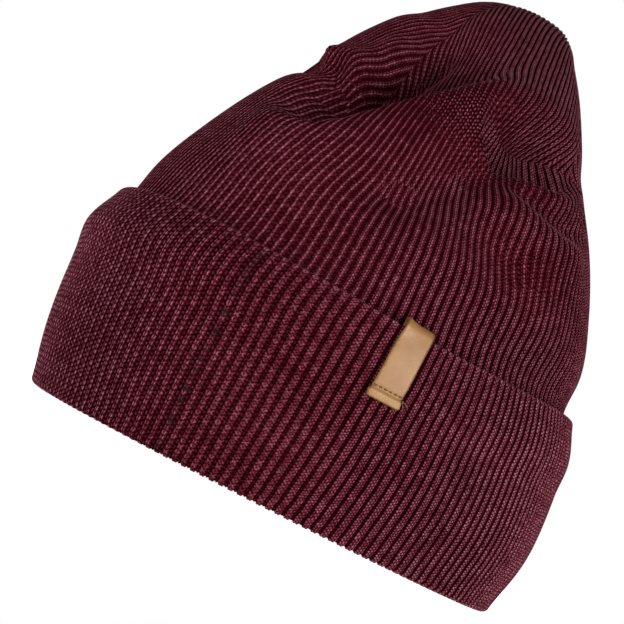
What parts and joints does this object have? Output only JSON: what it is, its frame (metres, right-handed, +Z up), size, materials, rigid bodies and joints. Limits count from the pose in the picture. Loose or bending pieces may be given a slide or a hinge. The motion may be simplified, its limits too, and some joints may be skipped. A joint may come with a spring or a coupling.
{
  "type": "knit hat",
  "caption": "Ribbed knit hat with a deep turned-up cuff, a soft folded crown and a small leather loop over the cuff's edge.",
  "frame": {"origin": "middle of the hat's footprint, on the plane that its rim rests on", "axes": "+Z up from the rim to the closed top, -Y the hat's front, +X the wearer's left side, where the leather loop is"},
  "size_m": [0.1949, 0.2108, 0.224],
  "materials": {
    "wool_knit": "matt ribbed wool knit, wine red",
    "wool_knit_cuff": "matt ribbed wool knit, wine red",
    "tan_leather": "natural tan leather, slight sheen"
  },
  "bodies": {
    "root": {"crown": "wool_knit", "cuff": "wool_knit_cuff", "leather_tab": "tan_leather"}
  },
  "joints": []
}
